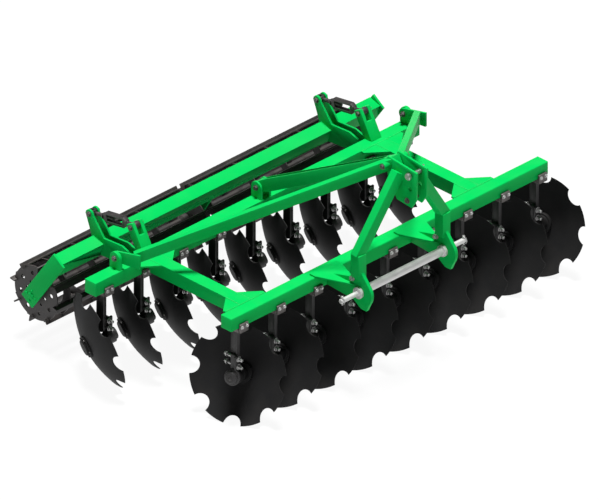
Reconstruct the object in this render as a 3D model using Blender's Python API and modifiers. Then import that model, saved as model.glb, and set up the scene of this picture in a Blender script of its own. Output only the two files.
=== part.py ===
"""Mounted compact disc harrow with a rear cage roller.

Units are metres. +X points forward to the tractor, +Y to the machine's left and +Z up. The frame is
drawn about the hitch's middle plane (Y = 0), the front beam's centre line (X = 0) and the top of the
beams (Z = 0). One empty, harrow_frame, then lifts all of it so that the discs stand on the ground and
the origin lies in the middle of the footprint.
"""
import math

import bmesh
import bpy
from mathutils import Matrix, Vector

# ---------------------------------------------------------------- driving dimensions
SEAT = 0.0003            # gap that welded or bolted faces keep
SIDE_GAP = 0.0005        # gap beside a part that turns on a pin

BEAM = 0.080             # side of the square frame tube
BEAM_SPACING = 0.775     # front beam centre to rear beam centre
FRONT_BEAM_Y = (-1.042, 1.335)
REAR_BEAM_Y = (-1.283, 1.1445)
SIDE_MEMBER_Y = 0.855    # side member centre, from the middle plane
GUSSET = 0.110           # leg of a corner gusset
GUSSET_THICK = 0.010

DISC_COUNT = 9
DISC_PITCH = 0.280
DISC_RADIUS = 0.280
DISC_DISH = 0.075        # depth of the dish
DISC_THICK = 0.006
DISC_NOTCHES = 8
NOTCH_RADIUS = 0.050
DISC_SEGMENTS = 2 * DISC_NOTCHES
NOTCH_SIDES = 8          # of the prism that cuts a notch
MIDDLE_RING = 0.60       # radius of the blade's middle ring over its rim's
DISC_BACK_SET = 0.012    # disc centre behind its beam's centre
DISC_DROP = 0.3985       # beam top to disc centre
GANG_ANGLE = math.radians(21.0)
CAMBER = math.radians(16.5)
FRONT_DISC_Y = -0.940    # first disc of each row, at its right-hand end
REAR_DISC_Y = -1.2024

HUB_FLANGE_RADIUS = 0.070
HUB_FLANGE_THICK = 0.030
NECK_RADIUS = 0.028
NECK_END = 0.044         # end of the turning neck, forward of the rim's plane
HOUSING_RADIUS = 0.043
HOUSING_LENGTH = 0.057
LEG_WIDTH = 0.055
LEG_THICK = 0.020
LEG_OFFSET = 0.015       # leg centre, from the disc centre towards its hollow side
LEG_FOOT = 0.045         # lower end of the leg above the disc centre
CLAMP = (0.078, 0.075, 0.030)

HITCH_Y = 0.315          # hitch plate centre, from the middle plane
HITCH_THICK = 0.020
HITCH_POST = (0.062, 0.056)
HITCH_POST_TOP = 0.200
LINK_BAR_X = 0.285
LINK_BAR_Z = -0.025
LINK_BAR_RADIUS = 0.023
LINK_HOLE_GAP = 0.001    # between the bar and its hole in a hitch plate
LINK_PIN_RADIUS = 0.014
LINK_COLLAR_RADIUS = 0.033
LINK_COLLAR_LENGTH = 0.018
LINK_BAR_LENGTH = 0.937

MAST_THICK = 0.012
MAST_GAP = 0.064         # room between the two mast plates for the top link
MAST_REAR_X = 0.212
MAST_TOP_Z = 0.664
MAST_LENGTH = 0.220
MAST_HEIGHT = 0.245
MAST_LEG = (0.060, 0.050)
TOP_PIN_RADIUS = 0.0125
TOP_PIN_GAP = 0.001
SPARE_HOLE_DROP = 0.081
TOP_PIN_INSET = (0.169, -0.053)   # from the mast plates' rear top corner

STAY_LUG_Y = 1.088
LUG_THICK = 0.020
LUG_RADIUS = 0.038
LUG_PIN_X = -0.003       # from the rear beam's centre
LUG_PIN_Z = 0.062
STAY_TUBE = (0.036, 0.060)
STAY_PLATE_THICK = 0.012
BRACE_WIDTH = 0.050
BRACE_END_DEPTH = 0.072
BRACE_MAST_DEPTH = 0.060

ROLLER_PLANE_Y = 0.853   # middle of each roller linkage
PIVOT_X = -0.090         # roller frame's pivot, from the rear beam's centre
PIVOT_Z = -0.080
POST_PIN_X = -0.090
POST_PIN_Z = 0.130
HORN_PIN_X = -0.410
HORN_PIN_Z = 0.080
LINK_THICK = 0.034       # lug and turnbuckle eyes, between the roller frame's paired plates
FRAME_PLATE = 0.012
POST_WIDTH = 0.076
POST_DEPTH = 0.050
EYE_RADIUS = 0.027
ROLLER_BEAM_X = -0.350
ROLLER_BEAM_Z = -0.085
ROLLER_BEAM_HALF = 1.190
ROLLER_BEAM_TILT = math.radians(17.0)
ROLLER_X = -0.525        # roller axle, from the rear beam's centre
ROLLER_Z = -0.335
ROLLER_RADIUS = 0.178
RING_INSET = 0.018       # ring edge inside the bars' outer edge
ROLLER_BARS = 8
BAR = (0.034, 0.010)
RING_THICK = 0.010
AXLE_RADIUS = 0.030
ARM_THICK = 0.014
ARM_WIDTH = 0.095
ARM_OVERRUN = 0.055      # arm plate past the roller axle
RUNNING_GAP = 0.006      # roller end to arm or hanger
HANGER_THICK = 0.014

BODY_HEIGHT = 0.062      # turnbuckle body
BODY_THICK = 0.028
BODY_WALL = 0.018
BODY_START = 0.060       # from the front eye's pin
BODY_END = 0.235
SCREW_RADIUS = 0.011
SCREW_GAP = 0.0015

REAR_X = -BEAM_SPACING
HALF = BEAM / 2


# ---------------------------------------------------------------- tools
def clear_scene():
    for obj in list(bpy.data.objects):
        bpy.data.objects.remove(obj, do_unlink=True)


def new_collection(name):
    coll = bpy.data.collections.new(name)
    bpy.context.scene.collection.children.link(coll)
    return coll


def paint(name, colour, roughness, metallic):
    mat = bpy.data.materials.new(name)
    mat.use_nodes = True
    shader = mat.node_tree.nodes["Principled BSDF"]
    shader.inputs["Base Color"].default_value = (*colour, 1.0)
    shader.inputs["Roughness"].default_value = roughness
    shader.inputs["Metallic"].default_value = metallic
    mat.diffuse_color = (*colour, 1.0)
    return mat


def from_bmesh(bm):
    mesh = bpy.data.meshes.new("shape")
    bm.to_mesh(mesh)
    bm.free()
    obj = bpy.data.objects.new("shape", mesh)
    parts.objects.link(obj)
    return obj


def bake(obj):
    """Turn an object with its modifiers into a plain mesh object."""
    bpy.context.view_layer.update()
    graph = bpy.context.evaluated_depsgraph_get()
    mesh = bpy.data.meshes.new_from_object(obj.evaluated_get(graph))
    bm = bmesh.new()
    bm.from_mesh(mesh)
    bmesh.ops.remove_doubles(bm, verts=bm.verts, dist=0.00001)
    bm.to_mesh(mesh)
    bm.free()
    baked = bpy.data.objects.new("shape", mesh)
    baked.matrix_world = obj.matrix_world
    parts.objects.link(baked)
    bpy.data.objects.remove(obj, do_unlink=True)
    return baked


def block(size, centre, turn=Matrix()):
    """A box, turned about its own centre."""
    bm = bmesh.new()
    scale = Matrix.Diagonal((*size, 1.0))
    bmesh.ops.create_cube(bm, size=1.0, matrix=Matrix.Translation(centre) @ turn @ scale)
    return from_bmesh(bm)


def along(start, end):
    """A turn that carries +Z to the line from start to end, with its X axis kept level."""
    line = (Vector(end) - Vector(start)).normalized()
    level = Vector((0.0, 0.0, 1.0)).cross(line)
    if level.length < 0.001:
        level = Vector((0.0, 1.0, 0.0))
    level.normalize()
    third = line.cross(level)
    return Matrix((level, third, line)).transposed().to_4x4()


def bar(start, end, width, height):
    """A straight bar of rectangular section; its width lies level."""
    start, end = Vector(start), Vector(end)
    return block((width, height, (end - start).length), (start + end) / 2, along(start, end))


def rod(start, end, radius, sides=16):
    start, end = Vector(start), Vector(end)
    bm = bmesh.new()
    place = Matrix.Translation((start + end) / 2) @ along(start, end)
    bmesh.ops.create_cone(bm, cap_ends=True, segments=sides, radius1=radius, radius2=radius,
                          depth=(end - start).length, matrix=place)
    return from_bmesh(bm)


def arc(centre, radius, first, last, steps):
    """Points on an arc, angles in degrees."""
    points = []
    for i in range(steps + 1):
        angle = math.radians(first + (last - first) * i / steps)
        points.append((centre[0] + radius * math.cos(angle), centre[1] + radius * math.sin(angle)))
    return points


def plate(outlines, thickness, middle, flat=False):
    """A plate cut to an outline and its holes. It stands at Y = middle, or lies at Z = middle."""
    curve = bpy.data.curves.new("outline", "CURVE")
    curve.dimensions = "2D"
    curve.fill_mode = "BOTH"
    curve.extrude = thickness / 2
    for outline in outlines:
        spline = curve.splines.new("POLY")
        spline.points.add(len(outline) - 1)
        for point, (a, b) in zip(spline.points, outline):
            point.co = (a, b, 0.0, 1.0)
        spline.use_cyclic_u = True
    obj = bpy.data.objects.new("outline", curve)
    parts.objects.link(obj)
    flat_obj = bake(obj)
    turn = Matrix.Translation((0, 0, middle)) if flat else (
        Matrix.Translation((0, middle, 0)) @ Matrix.Rotation(math.pi / 2, 4, "X"))
    flat_obj.data.transform(turn)
    return flat_obj


def turned(profile, segments):
    """A solid turned about Z from points (radius, height), listed from the top down."""
    mesh = bpy.data.meshes.new("profile")
    mesh.from_pydata([(r, 0.0, z) for r, z in profile], [(i, i + 1) for i in range(len(profile) - 1)], [])
    obj = bpy.data.objects.new("profile", mesh)
    parts.objects.link(obj)
    screw = obj.modifiers.new("turn", "SCREW")
    screw.steps = screw.render_steps = segments
    screw.use_merge_vertices = True
    screw.merge_threshold = 0.0001
    screw.use_smooth_shade = False
    return bake(obj)


def fuse(base, others=(), cutters=()):
    """Join the other solids to the base, then take the cutters out of it."""
    for kind, group in (("UNION", others), ("DIFFERENCE", cutters)):
        for other in group:
            step = base.modifiers.new(kind.lower(), "BOOLEAN")
            step.operation = kind
            step.solver = "EXACT"
            step.object = other
    baked = bake(base)
    for other in (*others, *cutters):
        bpy.data.objects.remove(other, do_unlink=True)
    return baked


def node(name, obj, material, parent, smooth=False):
    """Name a finished solid, give it its material and hang it on its parent empty."""
    obj.name = name
    obj.data.name = name
    obj.data.materials.clear()
    obj.data.materials.append(material)
    if smooth:
        obj.data.shade_smooth()
        obj.data.set_sharp_from_angle(angle=math.radians(35))
    obj.parent = parent
    return obj


def empty(name, location, parent=None, rotation=None):
    obj = bpy.data.objects.new(name, None)
    obj.empty_display_size = 0.05
    obj.location = location
    if rotation is not None:
        obj.rotation_euler = rotation
    obj.parent = parent
    parts.objects.link(obj)
    return obj


def about(obj, centre):
    """Move a mesh so that its object's origin is at the given point of the frame."""
    obj.data.transform(Matrix.Translation(-Vector(centre)))
    return obj


def sides():
    """Left is +Y, right is -Y."""
    return (("left", 1), ("right", -1))


# ---------------------------------------------------------------- discs and their stands
def spin_axis(hollow_side):
    """The disc's axis, out of its hollow side. hollow_side is +1 (left) or -1 (right)."""
    return Vector((math.sin(GANG_ANGLE) * math.cos(CAMBER),
                   hollow_side * math.cos(GANG_ANGLE) * math.cos(CAMBER),
                   math.sin(CAMBER)))


def disc_turn(hollow_side):
    """The disc's attitude: local Z is its axis and local Y points up its face."""
    axis = spin_axis(hollow_side)
    level = Vector((0.0, 0.0, 1.0)).cross(axis).normalized()
    return Matrix((level, axis.cross(level), axis)).transposed()


def dish(radius):
    """Depth of the blade's middle surface below the rim's plane."""
    return -DISC_DISH * (1 - (radius / DISC_RADIUS) ** 2)


def make_disc():
    half = DISC_THICK / 2
    middle = MIDDLE_RING * DISC_RADIUS
    back = -DISC_DISH - half - HUB_FLANGE_THICK
    profile = [(0.0, NECK_END), (NECK_RADIUS, NECK_END), (NECK_RADIUS, dish(NECK_RADIUS) + half),
               (middle, dish(middle) + half), (DISC_RADIUS, half), (DISC_RADIUS, -half),
               (middle, dish(middle) - half), (HUB_FLANGE_RADIUS, dish(HUB_FLANGE_RADIUS) - half),
               (HUB_FLANGE_RADIUS, back), (0.0, back)]
    blade = turned(profile, DISC_SEGMENTS)
    blade.data.transform(Matrix.Rotation(math.pi / DISC_SEGMENTS, 4, "Z"))
    cutters = []
    for i in range(DISC_NOTCHES):
        angle = 2 * math.pi * i / DISC_NOTCHES
        x, y = DISC_RADIUS * math.cos(angle), DISC_RADIUS * math.sin(angle)
        cutters.append(rod((x, y, -DISC_DISH), (x, y, DISC_DISH), NOTCH_RADIUS, NOTCH_SIDES))
    return fuse(blade, cutters=cutters)


def make_stand(hollow_side):
    """Clamp, leg, hub carrier and bearing housing, drawn about the disc's centre."""
    axis = spin_axis(hollow_side)
    leg_y = hollow_side * LEG_OFFSET
    beam_under = DISC_DROP - BEAM - SEAT
    clamp = block(CLAMP, (DISC_BACK_SET, leg_y, beam_under - CLAMP[2] / 2))
    leg_top = beam_under - CLAMP[2] / 2
    leg = block((LEG_WIDTH, LEG_THICK, leg_top - LEG_FOOT), (0.0, leg_y, (leg_top + LEG_FOOT) / 2))
    near = NECK_END + SIDE_GAP
    housing = rod(axis * near, axis * (near + HOUSING_LENGTH), HOUSING_RADIUS)
    reach = axis * (near + HOUSING_LENGTH / 2)
    carrier_depth = abs(reach.y) + LEG_THICK / 2 - LEG_OFFSET + 0.012
    carrier = block((LEG_WIDTH * 0.9, carrier_depth, HOUSING_RADIUS * 1.3),
                    (reach.x / 2, leg_y + hollow_side * (carrier_depth - LEG_THICK) / 2,
                     LEG_FOOT + HOUSING_RADIUS * 0.65 + 0.001))
    return fuse(clamp, [leg, carrier, housing])


def build_discs(frame):
    disc_mesh = make_disc()
    rows = (("front", 0.0, FRONT_DISC_Y, -1), ("rear", REAR_X, REAR_DISC_Y, 1))
    lowest = 0.0
    for row, beam_x, first_y, hollow_side in rows:
        turn = disc_turn(hollow_side)
        stand_mesh = make_stand(hollow_side)
        lowest = max(-(turn @ v.co).z for v in disc_mesh.data.vertices)
        for i in range(DISC_COUNT):
            centre = (beam_x - DISC_BACK_SET, first_y + DISC_PITCH * i, -DISC_DROP)
            axle = empty(f"{row}_axle_{i + 1}", centre, frame)
            disc = bpy.data.objects.new("shape", disc_mesh.data)
            disc.rotation_euler = turn.to_euler()
            stand = bpy.data.objects.new("shape", stand_mesh.data)
            for name, obj, material in ((f"{row}_disc_{i + 1}", disc, disc_steel),
                                        (f"{row}_stand_{i + 1}", stand, cast_black)):
                parts.objects.link(obj)
                obj.name = name
                obj.parent = axle
                if not obj.data.materials:
                    obj.data.materials.append(material)
        bpy.data.objects.remove(stand_mesh, do_unlink=True)
    bpy.data.objects.remove(disc_mesh, do_unlink=True)
    return lowest


# ---------------------------------------------------------------- main frame
def build_beams(frame):
    length = FRONT_BEAM_Y[1] - FRONT_BEAM_Y[0]
    front = block((BEAM, length, BEAM), (0, sum(FRONT_BEAM_Y) / 2, -HALF))
    node("front_beam", front, green, frame)
    length = REAR_BEAM_Y[1] - REAR_BEAM_Y[0]
    rear = block((BEAM, length, BEAM), (REAR_X, sum(REAR_BEAM_Y) / 2, -HALF))
    lugs = []
    pin = (REAR_X + LUG_PIN_X, LUG_PIN_Z)
    outline = [(pin[0] + LUG_RADIUS, -0.004)] + arc(pin, LUG_RADIUS, 0, 180, 8)
    outline += [(pin[0] - LUG_RADIUS, -0.004)]
    for middle in (-STAY_LUG_Y, STAY_LUG_Y):
        lugs.append(plate([outline], LUG_THICK, middle))
    for side in (-1, 1):
        lugs.append(plate([outline], STAY_PLATE_THICK,
                          side * (BRACE_WIDTH / 2 + SIDE_GAP + STAY_PLATE_THICK / 2)))
    node("rear_beam", fuse(rear, lugs), green, frame)


def build_side_members(frame):
    for side, sign in sides():
        y = sign * SIDE_MEMBER_Y
        front_x, rear_x = -HALF - SEAT, REAR_X + HALF + SEAT
        member = block((front_x - rear_x, BEAM, BEAM), ((front_x + rear_x) / 2, y, -HALF))
        gussets = []
        for corner_x, inward in ((front_x, -1), (rear_x, 1)):
            for edge in (-1, 1):
                root = y + edge * (HALF - 0.002)
                tip = root + edge * GUSSET
                outline = [(corner_x, root), (corner_x, tip), (corner_x + inward * 0.02, tip),
                           (corner_x + inward * GUSSET, root)]
                gussets.append(plate([outline], GUSSET_THICK, -GUSSET_THICK / 2 - 0.001, flat=True))
        node(f"side_member_{side}", fuse(member, gussets), green, frame)


# ---------------------------------------------------------------- three-point hitch
def build_hitch(frame):
    face = HALF + SEAT
    bar_at = (LINK_BAR_X, LINK_BAR_Z)
    post_x = LINK_BAR_X - 0.018
    back, front = post_x - HITCH_POST[0] / 2, post_x + HITCH_POST[0] / 2
    for side, sign in sides():
        y = sign * HITCH_Y
        outline = [(face, -BEAM + 0.005), (LINK_BAR_X - 0.045, LINK_BAR_Z - 0.062),
                   (LINK_BAR_X + 0.010, LINK_BAR_Z - 0.098), (LINK_BAR_X + 0.050, LINK_BAR_Z - 0.098)]
        outline += arc(bar_at, 0.088, -38, 28, 5)
        outline += [(front, 0.095), (front, HITCH_POST_TOP - 0.01), (back, HITCH_POST_TOP - 0.01),
                    (back, 0.050), (face, -0.002)]
        hole = arc(bar_at, LINK_BAR_RADIUS + LINK_HOLE_GAP, 0, 337.5, 15)
        web = plate([outline, hole], HITCH_THICK, y)
        post = block((HITCH_POST[0], HITCH_POST[1], HITCH_POST_TOP - 0.06),
                     (post_x, y, (HITCH_POST_TOP + 0.06) / 2))
        rib = [(0.0, y - 0.100), (0.0, y + 0.100), (HALF, y + 0.100),
               (back + 0.02, y + 0.012), (back + 0.02, y - 0.012), (HALF, y - 0.100)]
        shelf = plate([rib], GUSSET_THICK, SEAT + GUSSET_THICK / 2, flat=True)
        node(f"hitch_plate_{side}", fuse(web, [post, shelf]), green, frame)
    half = LINK_BAR_LENGTH / 2
    plate_in = HITCH_Y - HITCH_THICK / 2
    plate_out = HITCH_Y + HITCH_THICK / 2
    collar_end = plate_out + SEAT + LINK_COLLAR_LENGTH
    top = [(0.0, half), (LINK_PIN_RADIUS, half), (LINK_PIN_RADIUS, collar_end),
           (LINK_COLLAR_RADIUS, collar_end), (LINK_COLLAR_RADIUS, plate_out + SEAT),
           (LINK_BAR_RADIUS, plate_out + SEAT), (LINK_BAR_RADIUS, plate_in - SEAT),
           (LINK_COLLAR_RADIUS, plate_in - SEAT), (LINK_COLLAR_RADIUS, plate_in - SEAT - LINK_COLLAR_LENGTH),
           (LINK_BAR_RADIUS, plate_in - SEAT - LINK_COLLAR_LENGTH)]
    profile = top + [(r, -z) for r, z in reversed(top)]
    link_bar = turned(profile, 12)
    lying = Matrix.Rotation(math.pi / 2, 4, "X")
    link_bar.data.transform(Matrix.Translation((LINK_BAR_X, 0, LINK_BAR_Z)) @ lying)
    node("lower_link_bar", link_bar, bright_steel, frame, smooth=True)
    return post_x


def build_mast(frame, post_x):
    inner = MAST_GAP / 2
    x, z = MAST_REAR_X, MAST_TOP_Z
    outline = [(x, z), (x + MAST_LENGTH, z - 0.020), (x + MAST_LENGTH - 0.005, z - MAST_HEIGHT + 0.055),
               (x + MAST_LENGTH - 0.040, z - MAST_HEIGHT), (x + 0.070, z - MAST_HEIGHT + 0.010),
               (x, z - 0.110)]
    pin_x, pin_z = x + TOP_PIN_INSET[0], z + TOP_PIN_INSET[1]
    hole = arc((pin_x, pin_z), TOP_PIN_RADIUS + TOP_PIN_GAP, 0, 330, 11)
    lower = arc((pin_x, pin_z - SPARE_HOLE_DROP), TOP_PIN_RADIUS + TOP_PIN_GAP, 0, 330, 11)
    outer = inner + MAST_THICK
    for side, sign in sides():
        cheek = plate([outline, hole, lower], MAST_THICK, sign * (inner + MAST_THICK / 2))
        foot = Vector((post_x, sign * HITCH_Y, HITCH_POST_TOP + SEAT))
        head = Vector((x + 0.086, sign * (outer + MAST_LEG[1] / 2 - 0.020), z - 0.060))
        line = (head - foot).normalized()
        leg = bar(foot - line * 0.06, head, MAST_LEG[1], MAST_LEG[0])
        floor = block((0.3, 0.3, 0.2), (foot.x, foot.y, foot.z - 0.1))
        wall = block((0.3, 0.2, 0.5), (head.x, sign * (inner - 0.1 + MAST_THICK / 2), head.z))
        leg = fuse(leg, cutters=[floor, wall])
        node(f"mast_{side}", fuse(cheek, [leg]), green, frame)
    reach = outer + 0.022
    pin = rod((pin_x, -reach, pin_z), (pin_x, reach, pin_z), TOP_PIN_RADIUS, 12)
    node("top_link_pin", pin, bright_steel, frame, smooth=True)


def build_stays(frame):
    lug = Vector((REAR_X + LUG_PIN_X, 0, LUG_PIN_Z))
    mast_x, mast_z = MAST_REAR_X + 0.008, MAST_TOP_Z - 0.044
    rise = math.atan2(mast_z - lug.z, mast_x - lug.x)
    up = (-math.sin(rise), math.cos(rise))
    rear = (lug.x, lug.z)
    ahead = (math.cos(rise), math.sin(rise))
    deep, shallow = BRACE_END_DEPTH / 2, BRACE_MAST_DEPTH / 2
    tip = (mast_x + 0.030 * ahead[0], mast_z + 0.030 * ahead[1])
    outline = arc(rear, deep * 0.9, math.degrees(rise) + 90, math.degrees(rise) + 270, 6)
    outline += [(rear[0] + 0.10 * ahead[0] - deep * up[0], rear[1] + 0.10 * ahead[1] - deep * up[1]),
                (tip[0] - shallow * up[0], tip[1] - shallow * up[1]),
                (tip[0] + shallow * up[0], tip[1] + shallow * up[1]),
                (rear[0] + 0.10 * ahead[0] + deep * up[0], rear[1] + 0.10 * ahead[1] + deep * up[1])]
    node("center_brace", plate([outline], BRACE_WIDTH, 0.0), green, frame)

    outer = MAST_GAP / 2 + MAST_THICK
    for side, sign in sides():
        y = sign * (STAY_LUG_Y - LUG_THICK / 2 - SIDE_GAP - STAY_PLATE_THICK / 2)
        lug_end = arc((lug.x, lug.z), LUG_RADIUS * 0.9, 110, 250, 5)
        ear = plate([lug_end + [(lug.x + 0.165, lug.z - 0.010), (lug.x + 0.165, lug.z + 0.075)]],
                    STAY_PLATE_THICK, y)
        low = Vector((lug.x + 0.115, y - sign * (STAY_TUBE[0] / 2 - 0.002), lug.z + 0.038))
        high = Vector((mast_x + 0.002, sign * outer, mast_z))
        line = (high - low).normalized()
        tube = bar(low, high + line * 0.06, *STAY_TUBE)
        wall = block((0.5, 0.2, 0.5), (high.x, sign * (outer + SEAT - 0.1), high.z))
        tube = fuse(tube, cutters=[wall])
        node(f"stay_{side}", fuse(ear, [tube]), green, frame)


# ---------------------------------------------------------------- roller and its linkage
def build_roller_brackets(frame):
    """The lug behind the rear beam and the slotted post above it."""
    back = REAR_X - HALF - SEAT
    pivot = (REAR_X + PIVOT_X, PIVOT_Z)
    pin = (REAR_X + POST_PIN_X, POST_PIN_Z)
    for side, sign in sides():
        y = sign * ROLLER_PLANE_Y
        outline = [(back, -BEAM - 0.020)] + arc(pivot, 0.034, -100, -250, 6)
        outline += [(back - 0.030, SEAT), (back - 0.030, 0.030), (back, 0.030)]
        lug = plate([outline], LINK_THICK, y)
        foot = Vector((REAR_X - 0.018, y, SEAT))
        head = Vector((pin[0], y, pin[1]))
        line = (head - foot).normalized()
        post = bar(foot - line * 0.05, head + line * 0.022, POST_WIDTH, POST_DEPTH)
        floor = block((0.4, 0.2, 0.2), (foot.x, y, SEAT - 0.1))
        slot = bar(head - line * 0.055, head + line * 0.10, LINK_THICK + 2 * SIDE_GAP, POST_DEPTH * 2)
        post = fuse(post, cutters=[floor, slot])
        node(f"roller_bracket_{side}", fuse(post, [lug]), green, frame)


def build_roller_frame(frame):
    pivot = Vector((REAR_X + PIVOT_X, 0, PIVOT_Z))
    hinge = empty("roller_pivot", pivot, frame)
    centre = Vector((REAR_X + ROLLER_BEAM_X, 0, ROLLER_BEAM_Z))
    tilt = Matrix.Rotation(ROLLER_BEAM_TILT, 4, "Y")
    beam = block((BEAM, 2 * ROLLER_BEAM_HALF, BEAM), centre, tilt)
    horn = (REAR_X + HORN_PIN_X, HORN_PIN_Z)
    hx, hz = horn
    outline = arc(horn, 0.027, 0, 180, 6)
    outline += [(hx + 0.004, hz - 0.080), (hx + 0.050, hz - 0.217)]
    outline += arc((pivot.x, pivot.z), 0.038, -100, 80, 8)
    outline += [(hx + 0.2436, hz - 0.096), (hx + 0.110, hz - 0.104)]
    plates = []
    spread = LINK_THICK / 2 + SIDE_GAP + FRAME_PLATE / 2
    for _, sign in sides():
        for edge in (-1, 1):
            plates.append(plate([outline], FRAME_PLATE, sign * ROLLER_PLANE_Y + edge * spread))
    axle = (REAR_X + ROLLER_X, ROLLER_Z)
    hanger = [(centre.x + 0.020, centre.z - 0.020), (centre.x - 0.040, centre.z + 0.010)]
    hanger += arc(axle, 0.045, 150, 320, 6)
    plates.append(plate([hanger], HANGER_THICK, 0.0))
    body = about(fuse(beam, plates), pivot)
    node("roller_frame", body, green, hinge)

    fall = Vector((axle[0] - centre.x, axle[1] - centre.z)).normalized()
    across = Vector((-fall.y, fall.x)) * ARM_WIDTH / 2
    start = Vector((centre.x, centre.z)) - fall * 0.055
    end = Vector(axle) + fall * ARM_OVERRUN
    corners = [start + across, start - across, end - across, end + across]
    for side, sign in sides():
        y = sign * (ROLLER_BEAM_HALF + SEAT + ARM_THICK / 2)
        arm = about(plate([[tuple(c) for c in corners]], ARM_THICK, y), pivot)
        node(f"roller_arm_{side}", arm, green, hinge)
    return hinge, pivot


def build_roller_drums(hinge, pivot):
    axle = Vector((REAR_X + ROLLER_X, 0, ROLLER_Z))
    inner = HANGER_THICK / 2 + SIDE_GAP
    outer = ROLLER_BEAM_HALF + SEAT - SIDE_GAP
    cage_in = HANGER_THICK / 2 + RUNNING_GAP
    cage_out = ROLLER_BEAM_HALF + SEAT - RUNNING_GAP
    for side, sign in sides():
        shaft = rod((0, inner, 0), (0, outer, 0), AXLE_RADIUS, 12)
        pieces = []
        span = cage_out - cage_in
        for i in range(3):
            y = cage_in + RING_THICK / 2 + (span - RING_THICK) * i / 2
            pieces.append(rod((0, y - RING_THICK / 2, 0), (0, y + RING_THICK / 2, 0),
                              ROLLER_RADIUS - RING_INSET, 16))
        depth = BAR[0]
        for i in range(ROLLER_BARS):
            turn = Matrix.Rotation(2 * math.pi * i / ROLLER_BARS, 4, "Y")
            at = turn @ Vector((ROLLER_RADIUS - depth / 2, (cage_in + cage_out) / 2, 0))
            pieces.append(block((depth, span, BAR[1]), at, turn))
        drum = fuse(shaft, pieces)
        if sign < 0:
            drum.data.transform(Matrix.Rotation(math.pi, 4, "Z"))
        node(f"roller_drum_{side}", drum, roller_grey, empty(f"roller_axle_{side}", axle - pivot, hinge))


def build_turnbuckles(frame):
    pin = Vector((REAR_X + POST_PIN_X, 0, POST_PIN_Z))
    horn = Vector((REAR_X + HORN_PIN_X, 0, HORN_PIN_Z))
    length = (horn - pin).length
    slope = math.atan2(-(horn.z - pin.z), horn.x - pin.x)
    half, thick = BODY_HEIGHT / 2, BODY_THICK
    for side, sign in sides():
        at = empty(f"turnbuckle_pin_{side}", pin + Vector((0, sign * ROLLER_PLANE_Y, 0)), frame,
                   (0, slope, 0))
        taper = 0.020
        shell = [(BODY_START, -0.014), (BODY_START + taper, -half), (BODY_END - taper, -half),
                 (BODY_END, -0.014), (BODY_END, 0.014), (BODY_END - taper, half),
                 (BODY_START + taper, half), (BODY_START, 0.014)]
        window = [(BODY_START + BODY_WALL + 0.010, -half + 0.014),
                  (BODY_START + BODY_WALL + 0.010, half - 0.014),
                  (BODY_END - BODY_WALL - 0.010, half - 0.014), (BODY_END - BODY_WALL - 0.010, -half + 0.014)]
        body = plate([shell, window], thick, 0.0)
        eye = rod((0, -LINK_THICK / 2, 0), (0, LINK_THICK / 2, 0), EYE_RADIUS * 0.85)
        neck = rod((0.010, 0, 0), (BODY_START + 0.006, 0, 0), SCREW_RADIUS, 12)
        bore = rod((BODY_END - 0.050, 0, 0), (BODY_END + 0.010, 0, 0), SCREW_RADIUS + SCREW_GAP, 12)
        node(f"turnbuckle_{side}", fuse(body, [eye, neck], [bore]), dark_steel, at)
        far_eye = rod((length, -LINK_THICK / 2, 0), (length, LINK_THICK / 2, 0), EYE_RADIUS * 0.85)
        screw = rod((BODY_END - 0.075, 0, 0), (length - 0.010, 0, 0), SCREW_RADIUS, 12)
        node(f"turnbuckle_screw_{side}", fuse(far_eye, [screw]), dark_steel, at)


# ---------------------------------------------------------------- build
clear_scene()
parts = new_collection("disc_harrow")
green = paint("green_paint", (0.010, 0.560, 0.130), 0.45, 0.0)
disc_steel = paint("disc_steel", (0.012, 0.012, 0.013), 0.45, 0.4)
cast_black = paint("cast_black", (0.030, 0.030, 0.032), 0.50, 0.3)
dark_steel = paint("dark_steel", (0.120, 0.115, 0.115), 0.45, 0.8)
bright_steel = paint("bright_steel", (0.620, 0.610, 0.600), 0.30, 0.9)
roller_grey = paint("roller_grey", (0.055, 0.050, 0.050), 0.55, 0.5)

harrow_frame = empty("harrow_frame", (0, 0, 0))
lowest_disc_point = build_discs(harrow_frame)
build_beams(harrow_frame)
build_side_members(harrow_frame)
hitch_post_x = build_hitch(harrow_frame)
build_mast(harrow_frame, hitch_post_x)
build_stays(harrow_frame)
build_roller_brackets(harrow_frame)
roller_hinge, roller_pivot = build_roller_frame(harrow_frame)
build_roller_drums(roller_hinge, roller_pivot)
build_turnbuckles(harrow_frame)


def footprint_middle():
    """Middle of the whole machine's box, seen from above."""
    bpy.context.view_layer.update()
    solids = [obj for obj in parts.objects if obj.type == "MESH"]
    points = [obj.matrix_world @ v.co for obj in solids for v in obj.data.vertices]
    return [(min(p[i] for p in points) + max(p[i] for p in points)) / 2 for i in (0, 1)]


middle_x, middle_y = footprint_middle()
harrow_frame.location = (-middle_x, -middle_y, DISC_DROP + lowest_disc_point)
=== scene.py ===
"""A mounted compact disc harrow with a rear cage roller, painted green, on a pale studio floor.

Metres throughout. +X points forward to the tractor, +Y to the machine's left and +Z up. Each section makes
one piece of the machine, or one group of like pieces, in the order in which the machine is put together.
"""
import math

import bmesh
import bpy
from mathutils import Matrix, Vector


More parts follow.
